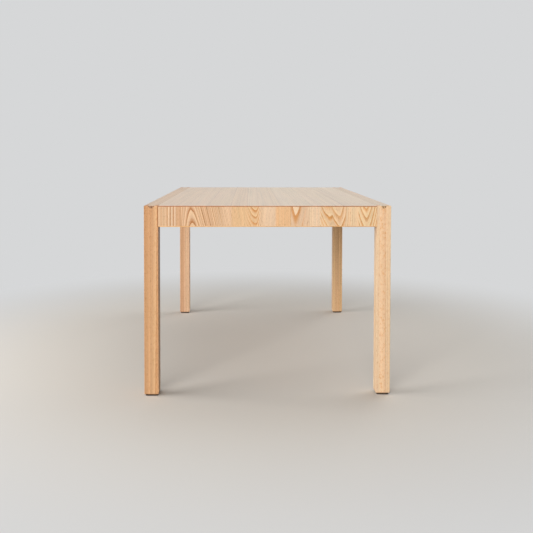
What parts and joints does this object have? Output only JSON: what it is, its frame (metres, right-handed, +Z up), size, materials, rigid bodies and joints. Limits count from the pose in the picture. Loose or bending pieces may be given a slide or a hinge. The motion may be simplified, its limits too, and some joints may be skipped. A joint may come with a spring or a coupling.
{
  "type": "dining table",
  "caption": "Rectangular dining table with square legs at the corners that run flush up to the top surface and straight aprons between them.",
  "frame": {"origin": "On the floor, under the middle of the tabletop", "axes": "+X across the table, to the right seen from the front end; +Y along the table, away from the front end; +Z up"},
  "size_m": [0.95, 1.5, 0.735],
  "materials": {
    "oak_leg": "solid light oak, straight grain along the leg, satin oil",
    "oak_rail": "solid light oak, straight grain along the rail, satin oil",
    "core_board": "hidden board core",
    "apron_veneer": "light oak veneer, upright grain with flame figure, satin oil",
    "oak_lipping": "solid light oak edge strip",
    "top_veneer": "light oak, lengthwise grain, satin lacquer",
    "backing_veneer": "plain oak backing veneer, matt",
    "support_wood": "planed pale hardwood, unfinished",
    "dowel_wood": "turned hardwood pins",
    "bracket_steel": "zinc-plated bent steel plate",
    "fastener_steel": "zinc-plated steel",
    "foot_rubber": "dark brown matt rubber"
  },
  "bodies": {
    "root": {"apron_cleat_screws_front": "fastener_steel", "apron_cleat_screws_rear": "fastener_steel", "apron_core_front": "core_board", "apron_core_rear": "core_board", "apron_dowels_front": "dowel_wood", "apron_dowels_rear": "dowel_wood", "apron_face_front": "apron_veneer", "apron_face_rear": "apron_veneer", "apron_lipping_front": "oak_lipping", "apron_lipping_rear": "oak_lipping", "bolt_nut_front_left": "fastener_steel", "bolt_nut_front_right": "fastener_steel", "bolt_nut_rear_left": "fastener_steel", "bolt_nut_rear_right": "fastener_steel", "bolt_washer_front_left": "fastener_steel", "bolt_washer_front_right": "fastener_steel", "bolt_washer_rear_left": "fastener_steel", "bolt_washer_rear_right": "fastener_steel", "brace_dowels_front": "dowel_wood", "brace_dowels_rear": "dowel_wood", "brace_screws": "fastener_steel", "bracket_screws_front_left": "fastener_steel", "bracket_screws_front_right": "fastener_steel", "bracket_screws_rear_left": "fastener_steel", "bracket_screws_rear_right": "fastener_steel", "cleat_front": "support_wood", "cleat_left": "support_wood", "cleat_rear": "support_wood", "cleat_right": "support_wood", "corner_bracket_front_left": "bracket_steel", "corner_bracket_front_right": "bracket_steel", "corner_bracket_rear_left": "bracket_steel", "corner_bracket_rear_right": "bracket_steel", "cross_brace_front": "support_wood", "cross_brace_rear": "support_wood", "foot_pad_front_left": "foot_rubber", "foot_pad_front_right": "foot_rubber", "foot_pad_rear_left": "foot_rubber", "foot_pad_rear_right": "foot_rubber", "foot_pad_screws": "fastener_steel", "leg_bolt_front_left": "fastener_steel", "leg_bolt_front_right": "fastener_steel", "leg_bolt_rear_left": "fastener_steel", "leg_bolt_rear_right": "fastener_steel", "leg_front_left": "oak_leg", "leg_front_right": "oak_leg", "leg_rear_left": "oak_leg", "leg_rear_right": "oak_leg", "panel_screws": "fastener_steel", "rail_cleat_screws_left": "fastener_steel", "rail_cleat_screws_right": "fastener_steel", "rail_dowels_left": "dowel_wood", "rail_dowels_right": "dowel_wood", "rail_left": "oak_rail", "rail_right": "oak_rail", "top_backing": "backing_veneer", "top_core": "core_board", "top_face": "top_veneer"}
  },
  "joints": []
}
